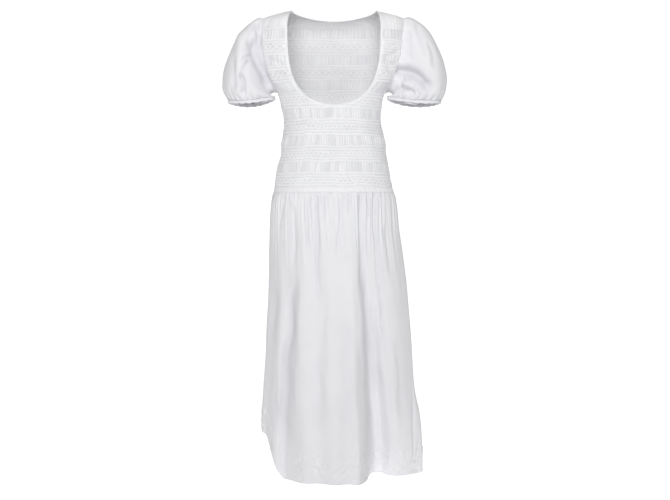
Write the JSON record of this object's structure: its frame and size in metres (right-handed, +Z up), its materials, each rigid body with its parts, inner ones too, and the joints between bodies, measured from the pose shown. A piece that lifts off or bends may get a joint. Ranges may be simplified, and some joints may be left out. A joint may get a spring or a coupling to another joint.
{
  "type": "midi dress",
  "caption": "White cotton midi dress with a smocked bodice, deep back scoop, short puff sleeves, a gathered skirt and a wide hem, held in its worn hollow form",
  "frame": {"origin": "midway between the two points where the shoulders meet the neckline, where the wearer's shoulders carry the dress", "axes": "+Z up along the body, -Y out of the wearer's back (the side with the deep scoop), +X to the right seen from behind"},
  "size_m": [0.5912, 0.3366, 1.2172],
  "materials": {
    "smocked_cotton": "matt white cotton, smocked with fine elastic rows",
    "skirt_cotton": "matt white plain-woven cotton with soft vertical folds",
    "sleeve_cotton": "matt white plain-woven cotton, gathered",
    "binding_cotton": "matt white cotton binding, edge stitched"
  },
  "bodies": {
    "root": {"bodice_back": "smocked_cotton", "bodice_front": "smocked_cotton", "neck_binding": "binding_cotton", "waist_band": "binding_cotton", "skirt_back": "skirt_cotton", "skirt_front": "skirt_cotton", "sleeve_left": "sleeve_cotton", "sleeve_right": "sleeve_cotton", "sleeve_hem_left": "binding_cotton", "sleeve_hem_right": "binding_cotton"}
  },
  "joints": []
}
